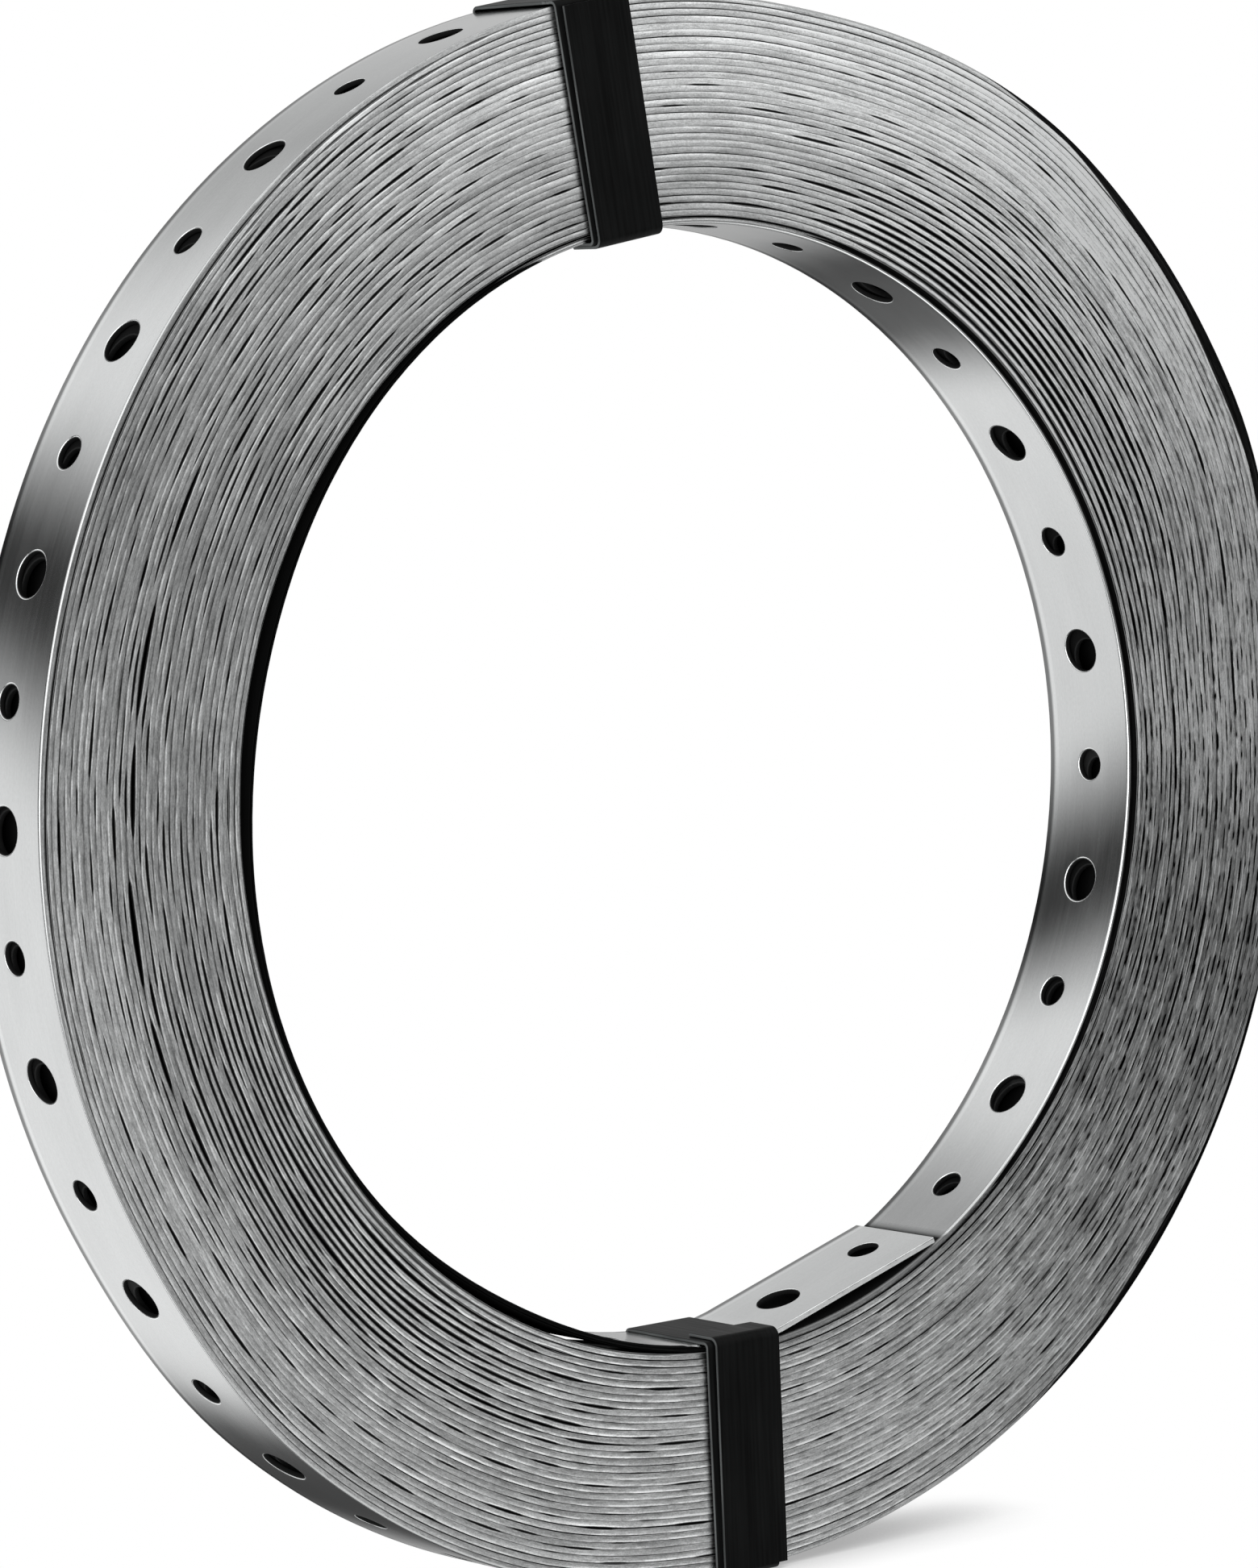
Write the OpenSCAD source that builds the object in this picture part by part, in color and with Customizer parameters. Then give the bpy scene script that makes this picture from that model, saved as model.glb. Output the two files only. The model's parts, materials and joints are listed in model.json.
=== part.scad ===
// Roll of perforated steel strap, standing on its rim and held by two packing bands.
// Millimetres. The roll's axis runs along Y, its front is at -Y and +Z is up.
// The origin is the middle of the flat foot: the lower packing band's outer face.

/* [Strap] */
// Width of the strap
strap_w = 20; // [16:0.5:26]
// Thickness of the strap
strap_t = 1; // [0.8:0.05:1.3]
// Diameter of the large holes
large_hole_d = 7.3; // [5.5:0.1:9]
// Diameter of the small holes
small_hole_d = 5.2; // [4:0.1:6.4]
// Distance from one hole to the next along the strap
hole_pitch = 19.4; // [15:0.1:25]
// Rounding of the strap's long edges, made as a chamfer
edge_break = 0.2; // [0.1:0.05:0.3]

/* [Roll] */
// Diameter of the open middle
bore_d = 180.8; // [140:0.2:240]
// Number of turns, counted on the side where the outer end lies
turns = 34; // [12:1:45]
// Air between one turn and the next
turn_gap = 0.105; // [0.005:0.005:0.2]
// How far a turn may stand in or out of the roll's flat ends
edge_wander = 0.25; // [0:0.05:0.4]
// Depth of the groove between two turns' edges
groove_depth = 0.45; // [0.3:0.05:0.8]
// Angle from the roll's top, where the strap ends, to the first hole behind that end
outer_first_hole = 9.2; // [4:0.1:14]

/* [Free inner end] */
// Distance past the lower band's edge at which the strap leaves the wall
tail_room = 1; // [0.6:0.1:3]
// Angle past the lowest point at which its tip meets the wall again
tail_to = 28.6; // [22:0.1:36]
// Distance from the tip to the middle of the first hole
tip_margin = 7.4; // [6:0.1:12]
// Space left between the tip and the wall
tail_fit = 0.2; // [0.1:0.05:0.3]

/* [Packing bands] */
// Width of a band
band_w = 13; // [9:0.5:19]
// Thickness of a band
band_t = 0.6; // [0.4:0.05:0.9]
// Sideways step between a band's two layers on the front
lap_step = 1.2; // [0.6:0.1:2.5]
// How far the upper layer reaches round the bend into the bore
lap_reach = 6; // [2.5:0.5:9]
// Angle from the roll's top to the upper band
upper_band_at = 8.3; // [7.5:0.1:40]
// Space left between a band and the strap
band_fit = 0.1; // [0.05:0.05:0.3]

/* [Hidden] */
$fn = 144;
through = 1; // how far a cutter runs past what it cuts
bite = 0.2; // how deep one joined shape reaches into another
tail_root = 1; // degrees that the stretch on the wall runs on past the free end's bend
root_break = 0.02; // how much more its corners are broken, which keeps the crossing faces clean

turn_pitch = strap_t + turn_gap;
bore_r = bore_d / 2;
rim_r = bore_r + turns * turn_pitch - turn_gap;
half_w = strap_w / 2;

// The strap winds as a two-centre spiral: round the roll's own centre on the left, and
// round a point half a turn's pitch lower on the right, so each turn runs on into the next.
right_centre = -turn_pitch / 2;
right_bore_r = bore_r + turn_pitch / 2;
right_rim_r = rim_r - turn_pitch / 2;

function on_left(angle) = cos(angle) <= 0;
function bore_at(angle) = on_left(angle) ? bore_r : right_bore_r + right_centre * sin(angle);
function rim_at(angle) = on_left(angle) ? rim_r : right_rim_r + right_centre * sin(angle);

// How far turn number n, counted from the inside, stands forward of the others.
function stands_out(n) = edge_wander * (0.6 * sin(47 * n) + 0.4 * sin(113 * n + 30));

// A band lies flat on the rim, and in the bore it rests on its two long edges. Its four
// bends are as round inside as the strap's broken edges let them be.
band_bend = edge_break + 3 * band_fit;
band_rim = rim_r + band_fit;
band_bore = sqrt(bore_r * bore_r - band_w * band_w / 4) - band_fit;
band_face = half_w + edge_wander + band_fit;
axis_height = band_rim + band_t;

outer_step = hole_pitch / (rim_r - strap_t / 2) * 180 / PI;
outer_holes = floor((360 - 2 * outer_first_hole) / outer_step) + 1;

// The free end is straight from where it leaves the wall to its tip.
tail_from = asin((band_w / 2 + tail_room) / bore_r);
leave_at = 270 + tail_from;
tip_at = 270 + tail_to;
leave_r = bore_r + strap_t / 2;
tip_r = bore_at(tip_at) - strap_t / 2 - tail_fit;
leave = leave_r * [cos(leave_at), sin(leave_at)];
tip = tip_r * [cos(tip_at), sin(tip_at)];
tail_length = norm(tip - leave);
tail_slope = atan2(tip[1] - leave[1], tip[0] - leave[0]);

// Holes on the first turn carry on from those of the free end, large and small in turn.
inner_step_wanted = hole_pitch / (bore_r + strap_t) * 180 / PI;
hidden_hole = leave_at - (tip_margin + 2 * hole_pitch - tail_length) / leave_r * 180 / PI;
inner_first = hidden_hole - inner_step_wanted;
inner_last = tip_at - 360 + 0.7 * inner_step_wanted;
inner_pairs = floor((inner_first - inner_last) / inner_step_wanted / 2);
inner_steps = 2 * inner_pairs + 1;
inner_step = (inner_first - inner_last) / inner_steps;

function hole_d(n) = n % 2 == 0 ? large_hole_d : small_hole_d;

// Half the roll's section: count turns from start_r outwards, with a V groove between two
// turns' edges. The section's X is the radius and its Y points to the roll's front.
module roll_section(start_r, count, first) {
    shift = [for (n = [0 : count - 1]) stands_out(first + n)];
    radius = [for (n = [0 : count - 1]) start_r + n * turn_pitch];
    last = count - 1;
    function land(n, side) = [
        [radius[n] + edge_break, side * half_w + shift[n]],
        [radius[n] + strap_t - edge_break, side * half_w + shift[n]]
    ];
    function groove(n, side) = [
        radius[n] + strap_t + turn_gap / 2,
        side * (half_w - groove_depth + min(side * shift[n], side * shift[n + 1]))
    ];
    function corner(r, n, side) = [r, side * (half_w - edge_break) + shift[n]];
    front = [for (n = [0 : last]) each n < last ? concat(land(n, 1), [groove(n, 1)]) : land(n, 1)];
    back = [for (n = [0 : last]) each n < last ? concat(land(n, -1), [groove(n, -1)]) : land(n, -1)];
    polygon(concat(
        [corner(start_r, 0, 1)],
        front,
        [corner(radius[last] + strap_t, last, 1), corner(radius[last] + strap_t, last, -1)],
        [for (i = [len(back) - 1 : -1 : 0]) back[i]],
        [corner(start_r, 0, -1)]
    ));
}

module left_turns() {
    rotate([0, 0, 90])
        rotate_extrude(angle = 180)
            roll_section(bore_r, turns, 0);
}

module right_turns() {
    translate([0, right_centre, 0])
        rotate([0, 0, -90])
            rotate_extrude(angle = 180)
                roll_section(right_bore_r, turns - 1, 0.5);
}

// The strap's own section, with its thickness along X and its width along Y.
module strap_section(thickness, extra_break = 0) {
    s = stands_out(0);
    b = edge_break + extra_break;
    polygon([
        [0, b - half_w + s], [b, s - half_w], [thickness - b, s - half_w], [thickness, b - half_w + s],
        [thickness, half_w - b + s], [thickness - b, half_w + s], [b, half_w + s], [0, half_w - b + s]
    ]);
}

module free_end() {
    // the stretch under the lower band, still on the wall, and a little past the bend
    rotate([0, 0, 270])
        rotate_extrude(angle = tail_from + tail_root)
            translate([bore_r, 0])
                strap_section(turn_pitch + bite, root_break);
    // the straight stretch, punched like the rest of the strap
    translate([leave[0], leave[1], 0])
        rotate([0, 0, tail_slope])
            difference() {
                translate([-bite, strap_t / 2, 0])
                    rotate([90, 0, 90])
                        linear_extrude(tail_length + bite)
                            mirror([1, 0])
                                strap_section(strap_t);
                for (n = [0 : 1])
                    translate([tail_length - tip_margin - n * hole_pitch, 0, 0])
                        rotate([90, 0, 0])
                            cylinder(h = strap_t + 2 * through, d = hole_d(n + 1), center = true);
            }
}

// A punched hole seen in the wall: as deep as the strap is thick, down to the next turn.
module outer_hole(angle, d) {
    rotate([0, 0, angle])
        translate([rim_at(angle) - strap_t, 0, 0])
            rotate([0, 90, 0])
                cylinder(h = strap_t + through, d = d);
}

module inner_hole(angle, d) {
    rotate([0, 0, angle])
        translate([bore_at(angle) - through, 0, 0])
            rotate([0, 90, 0])
                cylinder(h = strap_t + through, d = d);
}

// Turns a shape drawn with the roll's axis along Z and its front at +Z into place.
module stand() {
    translate([0, 0, axis_height])
        rotate([90, 0, 0])
            children();
}

module perforated_strap_coil() color("silver") {
    stand()
        difference() {
            union() {
                left_turns();
                right_turns();
                free_end();
            }
            for (n = [0 : outer_holes - 1])
                outer_hole(90 + outer_first_hole + n * outer_step, hole_d(n + 1));
            for (n = [0 : inner_steps])
                inner_hole(inner_first - n * inner_step, hole_d(n));
        }
}

// A closed loop round the roll's section, out from the bore: X is the radius.
module loop_outline(out) {
    low = [band_bore - out, -band_face - out];
    high = [band_rim + out, band_face + out];
    r = band_bend + out;
    for (x = [low[0] + r, high[0] - r], y = [low[1] + r, high[1] - r])
        translate([x, y])
            circle(r);
    translate([low[0] + r, low[1]])
        square([high[0] - low[0] - 2 * r, high[1] - low[1]]);
    translate([low[0], low[1] + r])
        square([high[0] - low[0], high[1] - low[1] - 2 * r]);
}

module loop(inside, outside) {
    rotate([90, 0, 0])
        linear_extrude(band_w, center = true)
            difference() {
                loop_outline(outside);
                loop_outline(inside);
            }
}

// One band, drawn over the roll's section on the right: a loop, and over its front the
// band's other end, one layer up and a little to the side. That end stops short of the rim.
// On the standing roll both bands step to the right.
module band() {
    loop(0, band_t);
    translate([0, lap_step, 0])
        intersection() {
            loop(band_t, 2 * band_t);
            translate([band_bore - 3 * band_t, -band_w, band_face - lap_reach])
                cube([band_rim - band_bend - band_bore + 3 * band_t, 2 * band_w, lap_reach + 3 * band_t]);
        }
}

module upper_band() color([0.08, 0.08, 0.09])
    stand()
        rotate([0, 0, 90 + upper_band_at])
            mirror([0, 1, 0])
                band();

module lower_band() color([0.08, 0.08, 0.09])
    stand()
        rotate([0, 0, 270])
            band();

perforated_strap_coil();
upper_band();
lower_band();
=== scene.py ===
import json
import math

import bpy
import numpy as np
from mathutils import Matrix, Vector


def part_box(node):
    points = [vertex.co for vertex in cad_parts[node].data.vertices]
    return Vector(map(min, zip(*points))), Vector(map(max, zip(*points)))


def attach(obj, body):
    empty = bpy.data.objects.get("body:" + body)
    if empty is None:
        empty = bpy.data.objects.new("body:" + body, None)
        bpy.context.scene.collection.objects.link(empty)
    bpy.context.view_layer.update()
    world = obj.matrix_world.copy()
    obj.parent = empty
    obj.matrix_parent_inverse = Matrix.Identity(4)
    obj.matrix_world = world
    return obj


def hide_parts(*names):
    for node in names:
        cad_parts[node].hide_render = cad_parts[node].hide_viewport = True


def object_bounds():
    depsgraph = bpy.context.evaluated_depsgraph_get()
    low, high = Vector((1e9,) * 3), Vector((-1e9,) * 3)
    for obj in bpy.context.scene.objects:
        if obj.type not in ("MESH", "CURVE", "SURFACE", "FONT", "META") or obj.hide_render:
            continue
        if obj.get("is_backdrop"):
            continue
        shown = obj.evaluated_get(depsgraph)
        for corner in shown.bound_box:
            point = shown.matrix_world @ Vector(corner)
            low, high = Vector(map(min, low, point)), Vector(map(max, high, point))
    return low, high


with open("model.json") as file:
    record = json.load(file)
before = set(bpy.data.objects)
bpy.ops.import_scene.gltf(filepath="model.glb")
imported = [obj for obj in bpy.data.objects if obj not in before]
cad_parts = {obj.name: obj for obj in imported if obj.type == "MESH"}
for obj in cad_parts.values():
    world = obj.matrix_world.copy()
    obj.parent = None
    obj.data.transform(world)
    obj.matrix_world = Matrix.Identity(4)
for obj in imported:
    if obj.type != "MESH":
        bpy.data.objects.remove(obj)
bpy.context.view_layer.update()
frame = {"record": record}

# The strap is wound here once more as one long strip, turn by turn, with its real edges, the
# air between its turns and its punched holes. All lengths are in millimetres until the mesh
# is made, and winding angles are in degrees, counted from the strap's outer end inwards.
MM = 0.001
STRAP_W, STRAP_T = 20.0, 1.0
BORE_R, TURNS = 90.4, 34
TIP_MARGIN = 7.4     # from the free end's tip to the middle of its first hole
BREAK = 0.1          # rounding of the strap's long edges
CROWN = 0.03         # how far the walls bow across their width: the normal's lean at their edges
CORNER, INNER_CORNER = 0.50, 0.60     # rounding of the two corners that show, outermost and innermost
RIM_WIDE, RIM_DEEP = 0.34, 0.14       # rounding of a hole's rim
RIM_LESS = 0.22      # how much narrower it is at the roll's top, where the photo looks along the wall
PATCH = 4.7          # half the side of the square round a hole
HAIR = 0.02          # how far the strap's rim stays inside the solid's, and how much thinner a band is

# Where the roll is wound loosely it bulges by these lengths in all, and the innermost turn hangs
# inwards by these. Angles are in degrees, upwards from the roll's right side or from its left side.
BULGE, BULGE_FROM_RIGHT = 4.0, (2, 25, 48, 80)               # at the upper right
BULGE_LOW, BULGE_LOW_FROM_LEFT = 1.3, (-86, -70, -48, -28)   # at the lower left
SAG_LEFT, SAG_LEFT_FROM_LEFT = 2.1, (18, 36)                 # on the left: middle and half width
SAG_LOW, SAG_LOW_FROM_LEFT = 1.1, (-62, 16)                  # at the lower left
# the bulge's share that each turn takes: a little in the outer ones, most between these two
# shares of the strap's length
OUTER_SLACK, SLACK_FROM, SLACK_WHOLE = 0.12, 0.40, 0.78

# Stretches where one turn stands off from the next: turn, middle in degrees from the roll's
# right side, half length in degrees, and how many times the usual air is added
SPLITS = [
    (14, 152, 4.0, 1.2), (14, 165, 3.6, 3.4), (14, 175, 3.0, 3.4), (13, 186, 3.6, 4.2), (14, 192, 3.0, 1.6),
    (13, 196, 3.0, 2.6), (14, 203, 3.4, 3.0), (14, 214, 5.0, 2.0), (22, 131, 5.0, 1.2), (22, 150, 6.0, 1.3),
    (26, 196, 5.0, 1.6), (26, 214, 5.0, 1.8), (26, 232, 4.0, 1.2), (7, 282, 14.0, 1.2), (0, 42, 24.0, 1.6),
    (32, 0, 24.0, 2.4), (12, 222, 5.0, 1.3), (17, 196, 5.0, 1.5), (20, 206, 5.0, 1.6), (23, 218, 6.0, 1.6),
    (29, 226, 7.0, 1.7)]

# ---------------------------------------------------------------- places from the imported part
mounts = {m["name"]: m for m in frame["record"]["mounts"]}


def place(name):
    m = mounts[name]
    return np.array(m["pos_m"]) / MM, np.array(m["axis"])


def angle_of(direction):
    return math.degrees(math.atan2(direction[2], direction[0]))


# two large holes of the outer turn, the third and the fifth behind the strap's first one
STATED, APART = 3, 2
(hole_1, axis_1), (hole_2, axis_2) = place("outer_large_hole_1"), place("outer_large_hole_2")
reach = np.linalg.norm(hole_2 - hole_1) / np.linalg.norm(axis_2 - axis_1)
centre = hole_1 - reach * axis_1
CX, CZ = centre[0], centre[2]
RIM_R = reach + STRAP_T / 2 - HAIR
AIR = (RIM_R - BORE_R - TURNS * STRAP_T) / (TURNS - 1)
TURN = STRAP_T + AIR
STEP = (angle_of(axis_2) - angle_of(axis_1)) / APART
FIRST = angle_of(axis_1) - STATED * STEP - 90
LARGE, SMALL = (mounts[f"outer_{k}_hole_1"]["dims"]["r_mm"] for k in ("large", "small"))
HOLE_PITCH = math.radians(STEP) * reach

tail_small, _ = place("free_end_small_hole")
tail_large, _ = place("free_end_large_hole")
tail_dir = (tail_small - tail_large) / np.linalg.norm(tail_small - tail_large)
tip = tail_small + TIP_MARGIN * tail_dir
# where the tail's middle line leaves the innermost turn
from_centre = tip - centre
forward = from_centre @ tail_dir
tail_length = forward + math.sqrt(forward ** 2 - from_centre @ from_centre + (BORE_R + STRAP_T / 2) ** 2)
leave = tip - tail_length * tail_dir
TAIL_FROM = angle_of(leave - centre) + 90
TIP_AT = angle_of(tip - centre) + 90
LAST = 360 * (TURNS - 0.5)
tip_turn = LAST - 360 + TIP_AT      # on the turn outside the free end, beside its tip

# ---------------------------------------------------------------- the wound strip's path
GRID = 0.5                          # degrees from one point of the path to the next
N = int(360 / GRID)
T = np.arange(0, LAST + TAIL_FROM, GRID)
PHI = np.radians(90 + T)


def noise(at, every, seed):
    """Smooth wander between -1 and 1 along the winding, one random value every so many degrees."""
    r = np.random.default_rng(seed)
    knots = r.uniform(-1, 1, int(LAST / every) + 12)
    k = np.asarray(at) / every
    i = np.floor(k).astype(int)
    f = (1 - np.cos(np.pi * (k - i))) / 2
    return knots[i] * (1 - f) + knots[i + 1] * f


def wander(at, *rows):
    """Adds up noises. A row has how far one goes, the degrees between its values, and its seed."""
    return sum(far * noise(at, every, seed) for far, every, seed in rows)


def bump(at, middle, half):
    return np.exp(-((np.asarray(at) - middle) / half) ** 2)


def ramp(at, start, end):
    k = np.clip((np.asarray(at) - start) / (end - start), 0, 1)
    return k * k * (3 - 2 * k)


def window(at, start, full, fading, end):
    """1 from full to fading, 0 up to start and from end on, and smooth between them."""
    return ramp(at, start, full) * ramp(at, end, fading)


def sides(phi):
    """Degrees round the roll counted upwards from its right side, and from its left side."""
    return {"right": np.degrees(np.arctan2(np.sin(phi), np.cos(phi))),
            "left": np.degrees(np.arctan2(np.sin(phi), -np.cos(phi)))}


def stretches(rows, places, inwards):
    """Adds up soft stretches round the roll. A row has the side that its angle is counted from,
    its middle and half width in degrees, how much it adds, and then, for each fade, where
    along inwards it starts and where it is over."""
    total = 0
    for side, middle, half, amount, *fades in rows:
        part = amount * bump(places[side], middle, half)
        for start, end in fades:
            part = part * ramp(inwards, start, end)
        total = total + part
    return total


base = np.where(T >= LAST - 180, BORE_R, BORE_R + TURN / 2 - TURN / 2 * np.sin(PHI))
nominal = BORE_R + STRAP_T / 2 + np.maximum(LAST - T, 0) * TURN / 360
run = np.concatenate([[0], np.cumsum(np.radians(GRID) * (nominal[1:] + nominal[:-1]) / 2)])
phase = 2 * np.pi * (run - np.interp(FIRST, T, run)) / HOLE_PITCH
path_sides = sides(PHI)
around, from_left = path_sides["right"], path_sides["left"]
inward = T / LAST                   # 0 at the outer end, 1 at the inner one

# The air between a turn and the next one in, as a share that is evened out over each direction.
# The strap bends a little more at each hole, so the air comes and goes.
EVEN_AIR, AIR_AT_HOLES, LEAST_AIR = 0.62, 0.10, 0.10
AIR_WANDER = [(0.40, 34, 3), (0.25, 14, 4)]
WIDE_AIR, WIDE_ABOVE, WIDE_WANDER = 1.6, 0.45, (40, 12)      # the wander's peaks open wider gaps
INNER_AIR, INNER_AIR_AT = 0.5, (LAST - 725, LAST - 690, LAST - 395, LAST - 362)
OVERTONE = 0.3                      # makes the bend at a hole sharper than the straight bit between two
bent = np.cos(phase) + OVERTONE * np.cos(2 * phase)
pulse = np.zeros_like(T)
pulse[:-N] = 0.5 * (bent[:-N] - bent[N:])
air = EVEN_AIR + AIR_AT_HOLES * pulse + wander(T, *AIR_WANDER)
air += WIDE_AIR * np.clip(noise(T, *WIDE_WANDER) - WIDE_ABOVE, 0, None)
for turn, middle, half, extra in SPLITS:
    air += extra * bump(T, 360 * turn + middle - 90, half)
air += INNER_AIR * window(T, *INNER_AIR_AT)
air = np.maximum(air, LEAST_AIR)

wound = int(LAST / GRID)
same_direction = np.arange(len(T)) % N


def over_turns(values, how):
    """For each point of the path, the sum or mean of the values that lie in its direction."""
    return np.array([how(values[i: wound - N: N]) for i in range(N)])[same_direction]


bulge = BULGE * window(around, *BULGE_FROM_RIGHT) + BULGE_LOW * window(from_left, *BULGE_LOW_FROM_LEFT)
sag = SAG_LEFT * bump(from_left, *SAG_LEFT_FROM_LEFT) + SAG_LOW * bump(from_left, *SAG_LOW_FROM_LEFT)
share = air / over_turns(air, np.mean)
slack = OUTER_SLACK + ramp(inward, SLACK_FROM, SLACK_WHOLE)
slack /= over_turns(slack, np.sum)
next_to_last = (T >= LAST - 720) & (T < LAST - 360)
gap_mm = AIR * share + bulge * slack + np.where(next_to_last, sag, 0)
radius = np.where(T >= LAST - 360, base - sag, base)
for i in range(wound - N - 1, -1, -1):
    radius[i] = radius[i + N] + STRAP_T + gap_mm[i]

# How far the seam between a turn and the next one in is painted open, 0 to 1, as a line of painted shade
# between painted highlights: short stretches where the straight bits between holes don't match, more of
# them where the roll was wound loosely.
# The fades run along the strap's length, from 0 at its outer end to 1 at its inner one.
LOOSE = [
    ("left", 48, 26, 0.26), ("left", -34, 24, 0.60, (0.40, 0.64)), ("left", -22, 30, 0.16, (0.25, 0.45)),
    ("left", -50, 14, 0.25, (0.60, 0.80)), ("right", 92, 20, -0.30), ("right", -78, 26, -0.16),
    ("right", -20, 34, 0.12), ("right", 45, 30, 0.20, (0.25, 0.45)), ("right", 66, 40, -0.30, (0.46, 0.26)),
    ("right", 55, 26, 0.75, (0.66, 0.86))]
USUAL_LOOSE, TIGHT, LOOSE_OPENS = 0.78, 0.88, 1.5
SEAM_AT_HOLES, SEAM_WANDER = 0.75, [(0.32, 9, 21), (0.32, 3.2, 22), (0.45, 48, 23)]
GAP_OPENS, GAP_OPEN = 0.19, 0.33    # from so much air on a seam opens, and it is open with so much
loose = USUAL_LOOSE + stretches(LOOSE, path_sides, inward)
seam = SEAM_AT_HOLES * pulse + wander(T, *SEAM_WANDER)
seam = np.clip(seam + LOOSE_OPENS * (loose - TIGHT), 0, 1)
seam_gap = np.where(next_to_last, gap_mm, AIR * share)
seam = np.maximum(seam, np.clip((seam_gap - GAP_OPENS) / (GAP_OPEN - GAP_OPENS), 0, 1))
# more of the painted open seam beside the bright corner of the outermost turn, at the upper left
BY_CORNER, BY_CORNER_WANDER, BY_CORNER_AT = 0.75, (0.35, 3, 24), (12, 30, 92, 118)
seam = np.maximum(seam, window(T, *BY_CORNER_AT) * (BY_CORNER + wander(T, BY_CORNER_WANDER)))

# how far each bit of the strap stands back from the roll's front face: everywhere a little, and
# more at the lower right of the outermost turn and over the whole innermost one
BACK_WANDER = [(0.09, 40, 5), (0.07, 13, 6), (0.07, 150, 7)]
OUTER_BACK, OUTER_BACK_AT = 0.30, (310, 40)
INNER_BACK, INNER_BACK_FROM = 0.55, (LAST - 420, LAST - 330)
back_off = wander(T, *BACK_WANDER) + OUTER_BACK * bump(T, *OUTER_BACK_AT)
back_off += INNER_BACK * ramp(T, *INNER_BACK_FROM)

px = CX + radius * np.cos(PHI)
pz = CZ + radius * np.sin(PHI)
nx, nz = np.cos(PHI), np.sin(PHI)

# the straight free end, with a short bend where it leaves the wall
BEND_FROM, BEND_TO = 1.6, 2.6        # degrees before the place where it leaves, and mm behind it
BEND_STEPS, TAIL_STEPS = 8, 19
TAIL_GRID = 0.01                     # on the free end the winding angle only has to go on rising
out = np.array([tail_dir[2], 0, -tail_dir[0]])
if out @ (leave - centre) < 0:
    out = -out
keep = T < LAST + TAIL_FROM - BEND_FROM
bend_at = math.radians(90 + LAST + TAIL_FROM - BEND_FROM)
start_n = np.array([math.cos(bend_at), 0, math.sin(bend_at)])
start = np.array([CX, 0, CZ]) + (BORE_R + STRAP_T / 2) * start_n
after = leave + BEND_TO * tail_dir
k = np.linspace(0, 1, BEND_STEPS + 1)[:, None]
bend = (1 - k) ** 2 * start + 2 * k * (1 - k) * leave + k * k * after
bend_n = (1 - k) * start_n + k * out
straight = after + np.linspace(0, 1, TAIL_STEPS + 1)[1:, None] * (tip - after)
mid = np.concatenate([bend, straight])
mid_n = np.concatenate([bend_n, np.repeat(out[None], TAIL_STEPS, 0)])
mid_n /= np.linalg.norm(mid_n, axis=1)[:, None]
inner = mid - STRAP_T / 2 * mid_n
px = np.concatenate([px[keep], inner[:, 0]])
pz = np.concatenate([pz[keep], inner[:, 2]])
nx = np.concatenate([nx[keep], mid_n[:, 0]])
nz = np.concatenate([nz[keep], mid_n[:, 2]])
off = np.concatenate([back_off[keep], np.full(len(inner), back_off[keep][-1])])
T_path = np.concatenate([T[keep], LAST + TAIL_FROM + np.arange(len(inner)) * TAIL_GRID])

mx, mz = px + nx * STRAP_T / 2, pz + nz * STRAP_T / 2
along = np.concatenate([[0], np.cumsum(np.hypot(np.diff(mx), np.diff(mz)))])
tx, tz = np.gradient(mx, along), np.gradient(mz, along)
END = along[-1]


def at_turn(t):
    """How far along the strap a winding angle lies."""
    return float(np.interp(t, T_path, along))


# ---------------------------------------------------------------- holes: (run, radius, corners)
CORNERS, CORNERS_BELOW = 32, 24      # of a hole that shows, and of one that is seen through it
FIRST_BELOW = 3                      # the first holes of the outer turn show none below them
BELOW_WANDER = 0.9
BEHIND_TIP = 0.7                     # where the inner turn's last hole lies past the tip, in hole pitches
holes = []


def below(n, usual, every, start=0):
    """How far off the next turn's hole lies below hole n, in mm: they don't quite meet."""
    return usual + BELOW_WANDER * math.sin(every * n + start)


n_outer = int((360 - FIRST) / STEP) + 1
for n in range(n_outer):
    r = LARGE if n % 2 else SMALL
    t = FIRST + n * STEP
    holes.append((at_turn(t), r, CORNERS))
    if n >= FIRST_BELOW:
        holes.append((at_turn(t + 360) + below(n, 1.5, 0.55), r, CORNERS_BELOW))
tail_s = END - TIP_MARGIN
holes += [(tail_s, SMALL, CORNERS), (tail_s - HOLE_PITCH, LARGE, CORNERS)]
# the inner turn's holes carry on from those of the free end, at about the same pitch
leave_turn = LAST + TAIL_FROM
wanted = math.degrees(HOLE_PITCH / (BORE_R + STRAP_T))
hidden = math.degrees((TIP_MARGIN + 2 * HOLE_PITCH - tail_length) / (BORE_R + STRAP_T / 2))
first_turn = leave_turn - hidden - wanted
last_turn = tip_turn + BEHIND_TIP * wanted
steps = 2 * int((first_turn - last_turn) / wanted / 2) + 1
inner_step = (first_turn - last_turn) / steps
for n in range(steps + 1):
    r = SMALL if n % 2 else LARGE
    t = first_turn - n * inner_step
    holes.append((at_turn(t), r, CORNERS))
    holes.append((at_turn(t - 360) - below(n, 1.4, 0.7, 1), r, CORNERS_BELOW))
holes.sort()

# ---------------------------------------------------------------- the strip's mesh
# What a vertex belongs to, kept in EDGE: a wall, a hole's wall, the end's cut, or a long edge
ON_WALL, ON_HOLE, ON_CUT, ON_EDGE = 0.0, 0.5, 0.6, 1.0
HW = STRAP_W / 2
LEAN, ROUND = 0.14, 0.055         # how a sheared edge's face leans outwards, and how round it is
COVERED_ROUND = ROUND + 0.1       # and how round its rim is where another turn lies against it
S, V, W = [], [], []              # where a vertex lies: along, across, through the strap
NS, NV, NW = [], [], []           # its normal in the same three directions
EDGE = []
faces = []


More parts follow.
